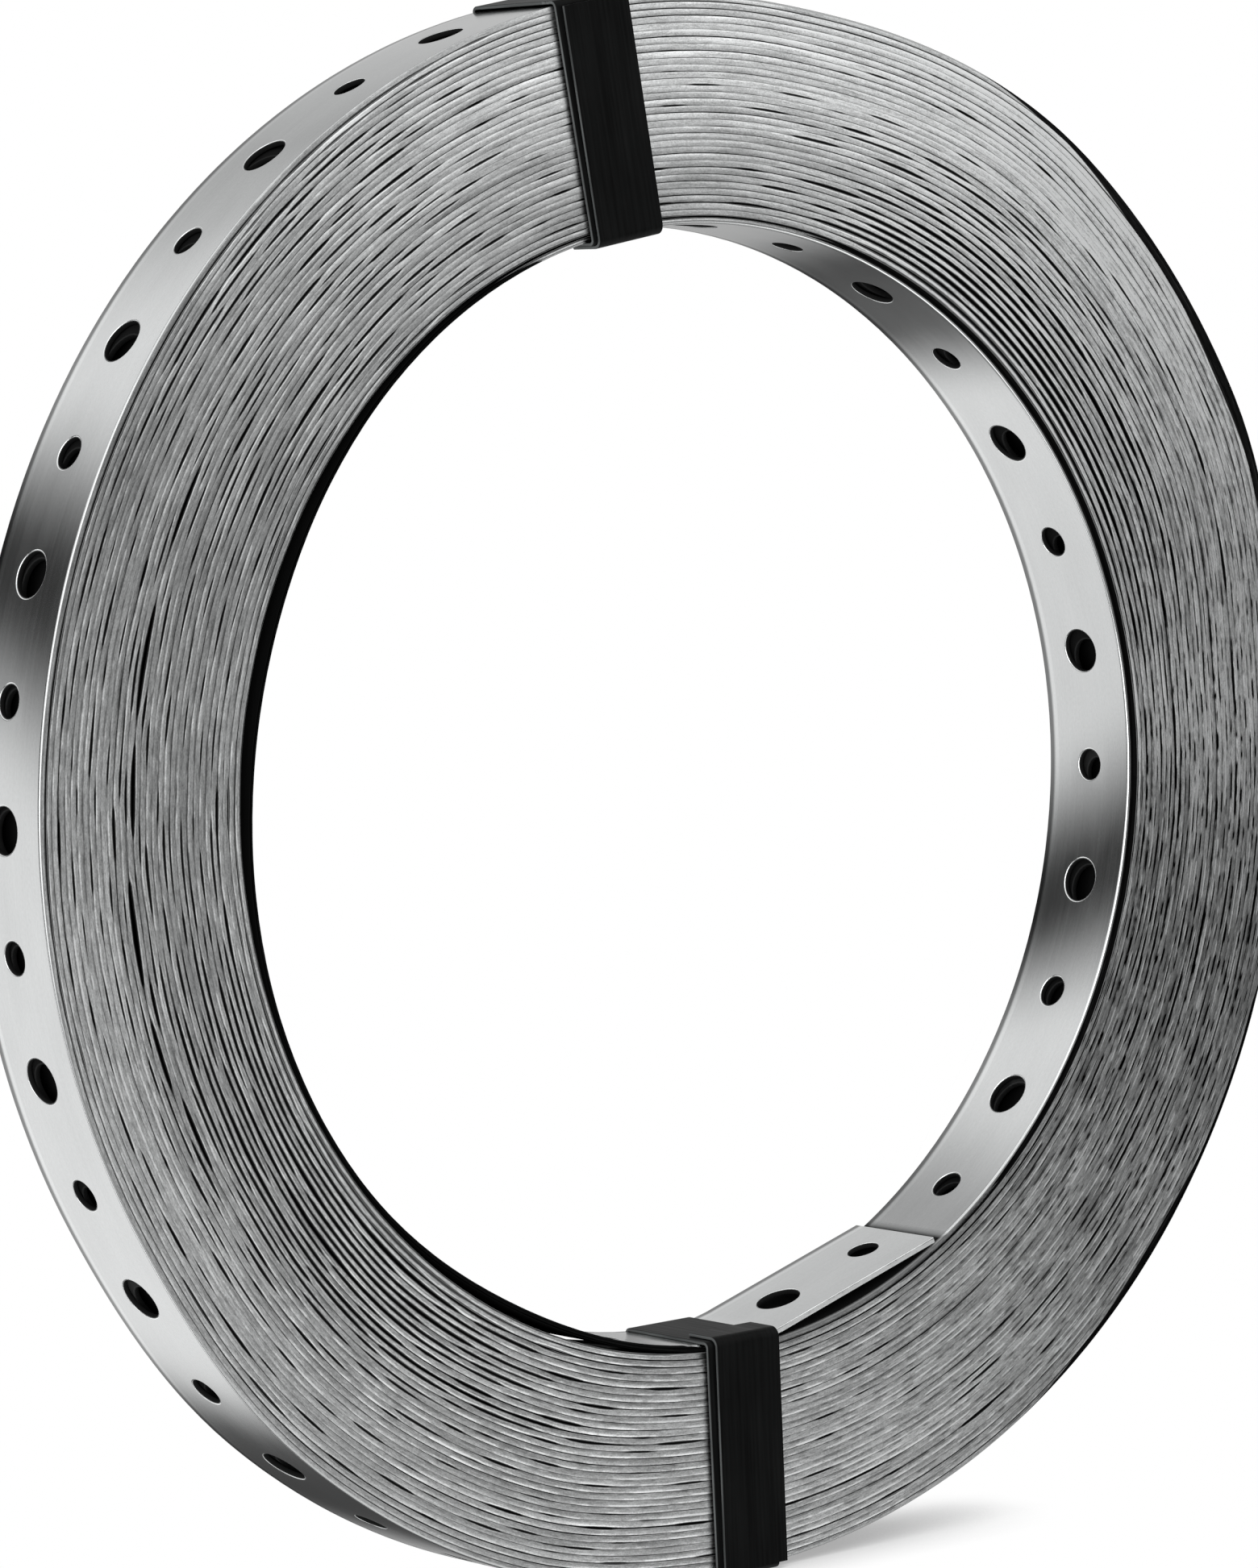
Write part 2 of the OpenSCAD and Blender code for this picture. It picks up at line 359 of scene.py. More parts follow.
def vert(s, v, w, ns, nv, nw, edge=ON_WALL):
    for column, value in zip((S, V, W, NS, NV, NW, EDGE), (s, v, w, ns, nv, nw, edge)):
        column.append(value)
    return len(S) - 1


plain_rows = [-HW + BREAK, HW - BREAK]


def punched_rows(corners):
    return [-HW + BREAK, *np.linspace(-PATCH, PATCH, corners // 4 + 1), HW - BREAK]


# Over which winding angles the two corners that show are rounded
OUTER_CORNER_SHOWS = (26, 56, 350, 372)
INNER_CORNER_SHOWS = (LAST - 372, LAST - 350, LAST, LAST + 6)


class Column:
    """One cut across the strap: its corner vertices, and rows of vertices on both walls. A cut
    without rows has only four corners, as on the turns that show nothing but their edges."""

    def __init__(self, s, rows=None, skip=False):
        self.s, self.rows = s, rows
        t = np.interp(s, along, T_path)
        if rows is None:
            self.f0, self.f1, self.b1, self.b0 = self.corners(s, 0, STRAP_T, STRAP_T, 0)
            self.o, self.i = [self.f1, self.b1], [self.f0, self.b0]
            return
        outer = BREAK + (CORNER - BREAK) * window(t, *OUTER_CORNER_SHOWS)
        inner = BREAK + (INNER_CORNER - BREAK) * window(t, *INNER_CORNER_SHOWS)
        self.f0, self.f1, self.b1, self.b0 = self.corners(s, inner, STRAP_T - outer, STRAP_T - BREAK, BREAK)
        self.o = self.wall(s, [outer - HW, *rows[1:]], STRAP_T, 1, t < 360, skip)
        self.i = self.wall(s, [inner - HW, *rows[1:]], 0, -1, t > LAST - 360, skip)

    @staticmethod
    def corners(s, front_in, front_out, back_out, back_in):
        """The long edges' vertices: the front one's inner and outer, the back one's outer and inner."""
        return (vert(s, -HW, front_in, 0, -1, LEAN - ROUND, ON_EDGE),
                vert(s, -HW, front_out, 0, -1, LEAN + ROUND, ON_EDGE),
                vert(s, HW, back_out, 0, 1, ROUND, ON_EDGE),
                vert(s, HW, back_in, 0, 1, -ROUND, ON_EDGE))

    @staticmethod
    def wall(s, rows, w, out, bare, skip):
        """One wall's vertices. Where another turn lies against it, its rims shade as the edge does."""
        last = len(rows) - 1
        ids = []
        for j, v in enumerate(rows):
            if skip and 1 < j < last - 1:
                ids.append(None)
            elif j in (0, last) and not bare:
                ids.append(vert(s, v, w, 0, -1 if j == 0 else 1, out * COVERED_ROUND))
            else:
                ids.append(vert(s, v, w, 0, CROWN * v / HW, out))
        return ids


def face(*ids):
    """Adds a face, without the corners that fall together."""
    ids = [v for n, v in enumerate(ids) if v != ids[n - 1]]
    if len(ids) > 2:
        faces.append(tuple(ids))


def join(a, c, patch=False):
    """Faces from column a to the next column c. Inside a patch the middle of both walls stays open."""
    face(a.f0, a.f1, c.f1, c.f0)
    face(a.f1, a.o[0], c.o[0], c.f1)
    face(a.o[-1], a.b1, c.b1, c.o[-1])
    face(a.b1, a.b0, c.b0, c.b1)
    face(a.b0, a.i[-1], c.i[-1], c.b0)
    face(a.i[0], a.f0, c.f0, c.i[0])
    if len(a.o) != len(c.o):
        face(*a.o, *reversed(c.o))
        face(*reversed(a.i), *c.i)
        return
    n = len(a.o) - 1
    for j in range(n):
        if patch and 0 < j < n - 1:
            continue
        face(a.o[j], a.o[j + 1], c.o[j + 1], c.o[j])
        face(a.i[j + 1], a.i[j], c.i[j], c.i[j + 1])


def ring(s0, r, w, corners, normal):
    """A ring of vertices round a hole. Its normals point along the hole, or without one across it."""
    ids = []
    for m in range(corners):
        p = math.radians(225 + 360 * m / corners)
        n = (0, 0, normal) if normal else (-math.sin(p), -math.cos(p), 0)
        ids.append(vert(s0 + r * math.sin(p), r * math.cos(p), w, *n, ON_WALL if normal else ON_HOLE))
    return ids


def rim_width(t):
    """Rounding of a hole's rim, narrower at the top of the outer turn and of the inner one."""
    at_top = ramp(t, 40, 20) + ramp(t, LAST - 240, LAST - 210) * (t < LAST - 170)
    return RIM_WIDE - RIM_LESS * at_top


def punch(cols, s0, r, corners):
    """The hole in a patch: its rim and its wall, from one face of the strap to the other."""
    wide = r + rim_width(np.interp(s0, along, T_path))
    outline = {}
    for side in ("o", "i"):
        grid = [getattr(c, side)[1:-1] for c in cols]
        outline[side] = (grid[0][:-1] + [g[-1] for g in grid[:-1]]
                         + grid[-1][:0:-1] + [g[0] for g in grid[:0:-1]])
    loops = [outline["o"], ring(s0, wide, STRAP_T, corners, 1), ring(s0, r, STRAP_T - RIM_DEEP, corners, 0),
             ring(s0, r, RIM_DEEP, corners, 0), ring(s0, wide, 0, corners, -1), outline["i"]]
    for u, w in zip(loops, loops[1:]):
        for m in range(corners):
            m2 = (m + 1) % corners
            faces.append((u[m], u[m2], w[m2], w[m]))


def stations(s0, s1, spacing):
    n = max(1, round((s1 - s0) / spacing))
    return [s0 + (s1 - s0) * i / n for i in range(1, n)]


def cap(c, direction):
    """Closes the strap's end with a slightly rounded cut."""
    outer_ids = [c.f0, c.f1, *c.o, c.b1, c.b0, *reversed(c.i)]
    inner_ids = []
    for i in outer_ids:
        v = max(-HW + BREAK, min(HW - BREAK, V[i]))
        w = max(BREAK, min(STRAP_T - BREAK, W[i]))
        inner_ids.append(vert(c.s + direction * BREAK, v, w, direction, 0, 0, ON_CUT))
    n = len(outer_ids)
    for m in range(n):
        q = (outer_ids[m], outer_ids[(m + 1) % n], inner_ids[(m + 1) % n], inner_ids[m])
        faces.append(q if direction > 0 else q[::-1])
    faces.append(tuple(inner_ids) if direction > 0 else tuple(reversed(inner_ids)))


def go_on(col, places, rows_at):
    """Carries the strip on from its last column, through a column at each of these places."""
    for s in places:
        nxt = Column(s, rows_at(s))
        join(col, nxt)
        col = nxt
    return col


MIDDLE, PUNCHED = 1.9, 3.4             # distance between two columns along the strap
LONG = 60                              # a stretch longer than this has no holes: the hidden turns
HIDDEN_WALLS = 1104                    # winding angle from either end past which no wall shows


def hidden_rows(s):
    shows = not HIDDEN_WALLS <= np.interp(s, along, T_path) <= LAST - HIDDEN_WALLS
    return plain_rows if shows else None


first = col = Column(BREAK, punched_rows(CORNERS))
for s0, r, corners in holes:
    rows = punched_rows(corners)
    lead = s0 - PATCH
    if lead - col.s > LONG:
        col = go_on(col, stations(col.s, lead, MIDDLE), hidden_rows)
    else:
        col = go_on(col, stations(col.s, lead, PUNCHED), lambda s: rows)
    cols = []
    across = corners // 4
    for q in range(across + 1):
        nxt = Column(lead + 2 * PATCH * q / across, rows, skip=0 < q < across)
        join(col, nxt, patch=q > 0)
        cols.append(nxt)
        col = nxt
    punch(cols, s0, r, corners)
rows = col.rows
col = go_on(col, stations(col.s, END - BREAK, PUNCHED) + [END - BREAK], lambda s: rows)
cap(first, -1)
cap(col, 1)

S, V, W = (np.array(a, float) for a in (S, V, W))
NS, NV, NW, EDGE = (np.array(a, float) for a in (NS, NV, NW, EDGE))


def on_path(values):
    return np.interp(S, along, values)


X0, Z0, NX, NZ, TX, TZ, OFF, TT = (on_path(a) for a in (px, pz, nx, nz, tx, tz, off, T_path))
outer_side = W > STRAP_T / 2
gap_here = np.where(outer_side, np.interp(TT - 360, T, gap_mm), np.interp(TT, T, gap_mm))
# an edge that stands free of its neighbour shows more of its rounding
FREE_GAP, FREE_ROUND = 0.25, 0.25
free = np.clip(gap_here / FREE_GAP, 0, 1)
is_edge = EDGE == ON_EDGE
NW = np.where(is_edge, NW + np.where(outer_side, FREE_ROUND, -FREE_ROUND) * free, NW)
ln = np.hypot(NX, NZ)
NX, NZ = NX / ln, NZ / ln
lt = np.hypot(TX, TZ)
TX, TZ = TX / lt, TZ / lt
verts = np.stack([X0 + W * NX, V + OFF, Z0 + W * NZ], 1) * MM
# wall normals stand square to the path itself, so that its small bends show in the shine
QX, QZ = TZ, -TX
flip = np.sign(QX * NX + QZ * NZ)
QX, QZ = QX * flip, QZ * flip
normals = np.stack([NS * TX + NW * QX, NV, NS * TZ + NW * QZ], 1)
normals /= np.linalg.norm(normals, axis=1)[:, None]

# ---------------------------------------------------------------- looks by place
# These values are painted: they were matched to the photo by measuring, and they stay with the strap in any
# light.
# Most of these looks are painted light and painted shade, set by place on the strap.
depth = TT / 360                            # turns from the outermost
from_inside = (LAST - TT) / 360             # turns from the innermost
turned = TT % 360                           # degrees from the roll's top, round by its left side
phi_v = (90 + TT) % 360
vert_sides = sides(np.radians(90 + TT))
where, from_left_v = vert_sides["right"], vert_sides["left"]
on_wall = EDGE == ON_WALL
in_hole = EDGE == ON_HOLE
front = V < 0
RIM_ROW, FRONT_RIM = 0.5, 0.7               # how near a wall's outer rows lie to the strap's edges
rim_row = on_wall & (np.abs(V) > HW - RIM_ROW)
front_rim = on_wall & (V < FRONT_RIM - HW)  # where the front edge turns into the wall
bare = np.where(outer_side, depth < 1, from_inside < 1)
through = W / STRAP_T - 0.5

seam_here = np.where(outer_side, np.interp(TT - 360, T, seam), np.interp(TT, T, seam))
seam_here = np.where(bare, 0, seam_here)

# Painted shadow turns a stretch of edge black where it passes from -1 to 1, so a black line of painted
# shadow runs out to a point. It is painted on the edges that lie in full shade.
NO_PAINTED_SHADOW = -1.0
painted_shadow = np.full_like(S, NO_PAINTED_SHADOW)
# the innermost edge, apart from its top and the stretch beside the free end
BESIDE_TAIL = (LAST - 357, LAST - 355, tip_turn + 3, tip_turn + 14)
shade = (1 - 1.2 * bump(where, 92, 17)) * (1 - window(TT, *BESIDE_TAIL))
NOT_TAIL = 0.004                            # turns from the place where the free end starts
last_turns_edge = front & (from_inside < 1) & (from_inside > NOT_TAIL)
innermost = last_turns_edge & (is_edge | front_rim & outer_side)
painted_shadow = np.where(innermost, 2 * shade - 1 - through, painted_shadow)
# and its corner, on the left half only
inner_rim = last_turns_edge & front_rim & ~outer_side
painted_shadow = np.where(inner_rim, 4 * window(phi_v, 100, 112, 262, 268) - 3, painted_shadow)
# the outermost edge at the upper and the lower right
outer_shadow = np.maximum(window(turned, 274, 290, 318, 338), 0.95 * window(turned, 200, 220, 244, 258))
outermost = is_edge & front & (depth < 1)
painted_shadow = np.where(outermost | front_rim & ~outer_side & (depth < 1), 2 * outer_shadow - 1 + through, painted_shadow)
painted_shadow = np.where(front_rim & outer_side & (depth < 1), 2 * outer_shadow - 0.6, painted_shadow)
# and the next two
second_shadow = np.maximum(window(turned, 276, 290, 308, 332), 0.75 * bump(turned, 227, 12))
third_shadow = bump(turned, 297, 10)
edge_or_rim = front & is_edge | front_rim
painted_shadow = np.where(edge_or_rim & (depth > 1) & (depth < 2), 2.2 * second_shadow - 1.4 + through, painted_shadow)
painted_shadow = np.where(edge_or_rim & (depth > 2) & (depth < 3), 1.35 * third_shadow - 1.2 + through, painted_shadow)

# painted shade: the grooves between turns, what is seen down the punched holes and the holes' walls, and a
# painted shadow on the wall behind the free end
UNDER_HOLES, HOLE_NEAR, HOLE_FAR, BEHIND_TAIL = (0.965, 0.992), 0.965, 0.99, 0.985
CORNER_SIDE_SHADE, CORNER_SIDE_SHADE_TO = 0.45, 200                   # beside its bright corner the outermost edge gets a little painted shade and is matt
painted_shade = np.where(on_wall & ~bare, 1.0, 0.0)
painted_shade = np.where(outermost & (TT < CORNER_SIDE_SHADE_TO), CORNER_SIDE_SHADE * bump(from_left_v, 24, 40), painted_shade)
under = np.where(noise(TT, 11, 31) > 0.5, *UNDER_HOLES)
one_down = np.where(outer_side, (depth > 1) & (depth < 2), (from_inside > 1) & (from_inside < 2))
painted_shade = np.where(on_wall & ~rim_row & one_down, under, painted_shade)
# painted shade on the walls of the holes
near_side = np.where(depth < 2.2, outer_side, ~outer_side)
hole = np.where(in_hole, np.where(near_side, HOLE_NEAR, HOLE_FAR), 0)
painted_shade = np.where(in_hole & ~bare, hole, painted_shade)
behind_tail = (TT > LAST - 357) & (TT < tip_turn + 1.5) & ~outer_side & ~is_edge
painted_shade = np.where(behind_tail, BEHIND_TAIL, painted_shade)

# tone: how light the edges are, with fades over the depth in turns, and how light the bare walls are. By
# place it is painted light and shade; on the walls it is a painted reflection.
PAINTED_LIGHT_AND_SHADE = [
    ("right", 58, 40, 0.39), ("right", 58, 40, 0.13, (19, 8)), ("right", 42, 20, 0.42, (16, 7)),
    ("right", 94, 34, -0.30, (12, 28)), ("right", -22, 26, -0.36), ("right", 2, 8, 0.32),
    ("right", -74, 20, 0.22, (34, 4)), ("right", 78, 14, -0.08, (18, 26)), ("right", -54, 14, -0.10),
    ("left", 27, 14, -0.10, (14, 6)), ("left", 30, 30, -0.34), ("left", -14, 16, 0.12, (16, 8)),
    ("left", -16, 36, -0.16, (8, 16), (31, 24))]
OUTER_WALL_SHADE = [("left", -53, 8, -0.42)]
INNER_WALL_LIGHT_AND_SHADE = [("right", 58, 10, 0.25), ("right", -54, 10, -0.22), ("right", 16, 26, -0.10)]
TAIL_EDGE_HIGHLIGHT, TAIL_WALL_LIGHT = 2.0, 1.22
tone = 1 + stretches(PAINTED_LIGHT_AND_SHADE, vert_sides, depth)
# in short streaks, most of all on the right, and here and there a painted glint
STREAKS, STREAKS_MORE = 0.09, [("right", -18, 38, 0.12)]
STREAK_WANDER = [(0.8, 4.3, 33), (1.0, 9.3, 34)]
GLINT, GLINT_ABOVE, GLINT_WANDER = 0.6, 0.60, (15, 35)
streaks = STREAKS + stretches(STREAKS_MORE, vert_sides, depth)
tone = tone * (1 + streaks * wander(TT, *STREAK_WANDER))
tone = tone * (1 + GLINT * np.clip(noise(TT, *GLINT_WANDER) - GLINT_ABOVE, 0, None))
wall_light_and_shade = 1 + np.where(outer_side, stretches(OUTER_WALL_SHADE, vert_sides, depth),
                         stretches(INNER_WALL_LIGHT_AND_SHADE, vert_sides, depth))
tone = np.where(on_wall, wall_light_and_shade, tone)
# the free end's edge and wall are painted lighter, a painted highlight
tone = np.where(TT > LAST + 3, np.where(is_edge, TAIL_EDGE_HIGHLIGHT, TAIL_WALL_LIGHT), tone)

# painted highlights and painted shade on the corners of the single edges: how strongly they set the edges
# apart from each other
PAINTED_CORNER_LIGHT = [("right", -14, 46, 1.35), ("right", 68, 44, -0.44), ("right", 118, 24, -0.22),
         ("left", 0, 50, 0.16), ("left", -50, 26, -0.5, (14, 4))]
USUAL_PAINTED_CORNER_LIGHT = 0.58
painted_corner_light = np.maximum(USUAL_PAINTED_CORNER_LIGHT + stretches(PAINTED_CORNER_LIGHT, vert_sides, depth), 0)


def make_mesh(name, verts, faces, normals, attributes):
    mesh = bpy.data.meshes.new(name)
    mesh.from_pydata(verts.tolist(), [], faces)
    for key, values in attributes.items():
        values = np.asarray(values, np.float32)
        if values.ndim == 2:
            mesh.attributes.new(key, "FLOAT_VECTOR", "POINT").data.foreach_set("vector", values.ravel())
        else:
            mesh.attributes.new(key, "FLOAT", "POINT").data.foreach_set("value", values)
    mesh.polygons.foreach_set("use_smooth", np.ones(len(mesh.polygons), bool))
    mesh.normals_split_custom_set_from_vertices(normals.tolist())
    mesh.update()
    obj = bpy.data.objects.new(name, mesh)
    bpy.context.scene.collection.objects.link(obj)
    return obj


coil = make_mesh("wound_strap", verts, faces, normals, {
    "strip": np.stack([S, V, W], 1), "edge": EDGE, "painted_shade": painted_shade, "tone": tone, "seam": seam_here,
    "painted_shadow": painted_shadow, "hole": hole, "painted_corner_light": painted_corner_light})

# ---------------------------------------------------------------- the two packing bands
low, high = (np.array(c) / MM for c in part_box("lower_band"))
BAND_T = -low[1] - high[1]
BAND_W = -2 * low[0]
LAP = high[0] + low[0]               # sideways step between its two layers on the front
FACE = high[1] - BAND_T
BAND_RIM = CZ - BAND_T
BAND_BORE = CZ - high[2] + 2 * BAND_T
BEND = 0.5                           # the bends' inner radius
REACH = 6.0                          # how far the upper layer reaches round into the bore
BAND_CORNER = 0.2                    # rounding of a band's own edges
BAND_GRID = 2.5                      # longest step along a band
BEND_ARCS, CORNER_ARCS = 6, 3
LAYERS_APART = 20                    # sets the two layers apart in the material's noise
UPPER_AT, LOWER_AT = 98.3, 270       # where on the roll they lie, in degrees from its right side
UPPER_SKEW, LOWER_SKEW = 0.3, -0.2   # by what share the step changes from the rim to the bore


def rounded_path(out):
    """Middle line of one layer round the strap: points (radius, front-back) and normals, from
    the rim along the front, round the bore side, along the back and over the rim again."""
    lo = (BAND_BORE - out, -FACE - out)
    hi = (BAND_RIM + out, FACE + out)
    r = BEND + out
    pts = []
    corners = [((hi[0] - r, lo[1] + r), 0, -90), ((lo[0] + r, lo[1] + r), -90, -180),
               ((lo[0] + r, hi[1] - r), 180, 90), ((hi[0] - r, hi[1] - r), 90, 0)]
    for (cx, cy), a, b in corners:
        arc = [math.radians(a + (b - a) * i / BEND_ARCS) for i in range(BEND_ARCS + 1)]
        pts += [(cx + r * math.cos(q), cy + r * math.sin(q), math.cos(q), math.sin(q)) for q in arc]
    return pts


def fill(pts, closed):
    """Puts points between those that lie further apart than a step."""
    res = []
    n = len(pts)
    for i in range(n if closed else n - 1):
        a, c = pts[i], pts[(i + 1) % n]
        m = max(1, int(math.dist(a[:2], c[:2]) / BAND_GRID))
        for q in range(m):
            f = q / m
            res.append(tuple(a[j] * (1 - f) + c[j] * f for j in range(4)))
    if not closed:
        res.append(pts[-1])
    return res


def section(width, thick, r):
    """Corner points of a band's cross-section with normals: (sideways, through)."""
    pts = []
    for sx, sy, a in ((1, 1, 0), (-1, 1, 90), (-1, -1, 180), (1, -1, 270)):
        for i in range(CORNER_ARCS + 1):
            q = math.radians(a + 90 * i / CORNER_ARCS)
            pts.append((sx * (width / 2 - r) + r * math.cos(q), sy * (thick / 2 - r) + r * math.sin(q),
                        math.cos(q), math.sin(q)))
    return pts


def band(name, angle, skew):
    vs, ns, fs, edge, lay = [], [], [], [], []
    profile = section(BAND_W, BAND_T - HAIR, BAND_CORNER)
    m = len(profile)
    layer1 = fill(rounded_path(BAND_T / 2), True)
    top = rounded_path(1.5 * BAND_T)
    # the upper layer starts short of the rim and ends inside the bore
    x0 = BAND_RIM - BEND
    front_y = -FACE - 1.5 * BAND_T
    first_bend = [p for p in top if p[1] < 0 and p[0] < (BAND_RIM + BAND_BORE) / 2]
    end = (BAND_BORE - 1.5 * BAND_T, -FACE + REACH, -1, 0)
    layer2 = fill([(x0, front_y, 0, -1), *first_bend, end], False)
    ca, sa = math.cos(math.radians(angle)), math.sin(math.radians(angle))
    side = np.array([-sa, 0, ca])
    if side[0] < 0:
        side = -side
    radial = np.array([ca, 0, sa])
    for level, (path, closed) in enumerate(((layer1, True), (layer2, False))):
        n = len(path)
        start = len(vs)
        for i, (x, y, out_x, out_y) in enumerate(path):
            nrm = (radial * out_x + np.array([0, 1, 0]) * out_y) / math.hypot(out_x, out_y)
            shift = level * LAP * (1 - skew * (x0 - x) / (x0 - BAND_BORE))
            p = centre * np.array([1, 0, 1]) + radial * x + np.array([0, y, 0]) + side * shift
            for u, w, nu, nw in profile:
                vs.append((p + side * u + nrm * w) * MM)
                ns.append(side * nu + nrm * nw)
                edge.append(abs(nu))
                lay.append((u + LAYERS_APART * level, w, i * BAND_GRID))
        for i in range(n if closed else n - 1):
            this, following = start + i * m, start + ((i + 1) % n) * m
            for j in range(m):
                j2 = (j + 1) % m
                fs.append((this + j, this + j2, following + j2, following + j))
        if not closed:
            fs.append(tuple(start + j for j in reversed(range(m))))
            fs.append(tuple(start + (n - 1) * m + j for j in range(m)))
    vs, ns = np.array(vs), np.array(ns)
    # faces of a left-handed sweep are turned round
    f = fs[0]
    fn = np.cross(vs[f[1]] - vs[f[0]], vs[f[3]] - vs[f[0]])
    if fn @ ns[f[0]] < 0:
        fs = [tuple(reversed(q)) for q in fs]
    return make_mesh(name, vs, fs, ns, {"strip": np.array(lay), "edge": np.array(edge)})


upper = band("upper_packing_band", UPPER_AT, UPPER_SKEW)
lower = band("lower_packing_band", LOWER_AT, LOWER_SKEW)

# ---------------------------------------------------------------- materials
NOISE = (0.3, 0.7)                   # what a noise node's value mostly lies between


class Tree:
    """Short names for building a node tree."""

    def __init__(self, owner):
        owner.use_nodes = True
        self.nodes, self.links = owner.node_tree.nodes, owner.node_tree.links

    def find(self, kind):
        return next(n for n in self.nodes if n.type == kind)

    def node(self, kind, **settings):
        n = self.nodes.new(kind)
        for k, v in settings.items():
            setattr(n, k, v)
        return n

    def put(self, value, socket):
        if hasattr(value, "is_output"):
            self.links.new(value, socket)
        else:
            socket.default_value = value

    def attribute(self, name):
        return self.node("ShaderNodeAttribute", attribute_name=name)

    def math(self, op, a, b=0.0, clamp=False):
        n = self.node("ShaderNodeMath", operation=op, use_clamp=clamp)
        self.put(a, n.inputs[0])
        self.put(b, n.inputs[1])
        return n.outputs[0]

    def times(self, a, b, clamp=False):
        return self.math("MULTIPLY", a, b, clamp)

    def plus(self, a, b):
        return self.math("ADD", a, b)

    def minus(self, a, b, clamp=False):
        return self.math("SUBTRACT", a, b, clamp)

    def less(self, value, share):
        """A value made smaller by a share of itself."""
        return self.times(value, self.minus(1.0, share))

    def scaled(self, vector, x, y, z):
        n = self.node("ShaderNodeVectorMath", operation="MULTIPLY")
        self.put(vector, n.inputs[0])
        n.inputs[1].default_value = (x, y, z)
        return n.outputs[0]

    def noise(self, vector, detail=3.0, rough=0.55):
        n = self.node("ShaderNodeTexNoise")
        self.put(vector, n.inputs["Vector"])
        n.inputs["Scale"].default_value = 1.0
        n.inputs["Detail"].default_value = detail
        n.inputs["Roughness"].default_value = rough
        return n.outputs["Fac"]

    def spread(self, value, low, high, to_low, to_high):
        n = self.node("ShaderNodeMapRange")
        self.put(value, n.inputs["Value"])
        for key, v in (("From Min", low), ("From Max", high), ("To Min", to_low), ("To Max", to_high)):
            self.put(v, n.inputs[key])
        return n.outputs[0]

    def between(self, noise, to_low, to_high):
        return self.spread(noise, *NOISE, to_low, to_high)

    def swing(self, noise, far):
        return self.between(noise, -far, far)

    def mix(self, factor, a, b):
        n = self.node("ShaderNodeMix", data_type="FLOAT")
        self.put(factor, n.inputs[0])
        self.put(a, n.inputs[2])
        self.put(b, n.inputs[3])
        return n.outputs[0]

    def smooth(self, value, low, high, to_low, to_high):
        n = self.node("ShaderNodeMapRange", interpolation_type="SMOOTHSTEP")
        self.put(value, n.inputs["Value"])
        for key, v in (("From Min", low), ("From Max", high), ("To Min", to_low), ("To Max", to_high)):
            n.inputs[key].default_value = v
        return n.outputs[0]

    def grey(self, value, tint=(1, 1, 1)):
        n = self.node("ShaderNodeCombineColor")
        for i in range(3):
            self.put(self.times(value, tint[i]), n.inputs[i])
        return n.outputs[0]


def material(name):
    mat = bpy.data.materials.new(name)
    t = Tree(mat)
    return mat, t, t.find("BSDF_PRINCIPLED")


RELIEF = 0.00005                     # height of the surface's finest relief, in metres


def relief(t, shader, height, strength):
    n = t.node("ShaderNodeBump")
    n.inputs["Strength"].default_value = strength
    n.inputs["Distance"].default_value = RELIEF
    t.put(height, n.inputs["Height"])
    t.put(n.outputs["Normal"], shader.inputs["Normal"])


def wall_colour(t, strip, v, tone_and_painted_light):
    """Rolled sheet, with faint streaks along it and soft cloudy patches. Returns its lightness,
    and the two noises for its gloss."""
    streak = t.noise(t.scaled(strip, 0.02, 1.6, 0.3), 4)
    cloud = t.noise(t.scaled(strip, 0.05, 0.12, 0.1), 3)
    grain = t.noise(t.scaled(strip, 1.5, 3.0, 1.0), 2)
    wall = t.plus(t.swing(streak, 0.012), t.swing(cloud, 0.025))
    wall = t.plus(t.plus(wall, t.swing(grain, 0.02)), 0.70)
    # the tone by place is painted light and shade, a painted reflection on the walls
    wall = t.times(wall, tone_and_painted_light, clamp=True)
    # painted light and shade along its far edge: a slightly lighter band, then a thin dark line
    wall = t.times(wall, t.smooth(v, HW - 2.5, HW - 2.0, 1.0, 1.12))
    wall = t.times(wall, t.smooth(v, HW - 1.6, HW - 0.8, 1.0, 0.28))
    return wall, streak, cloud


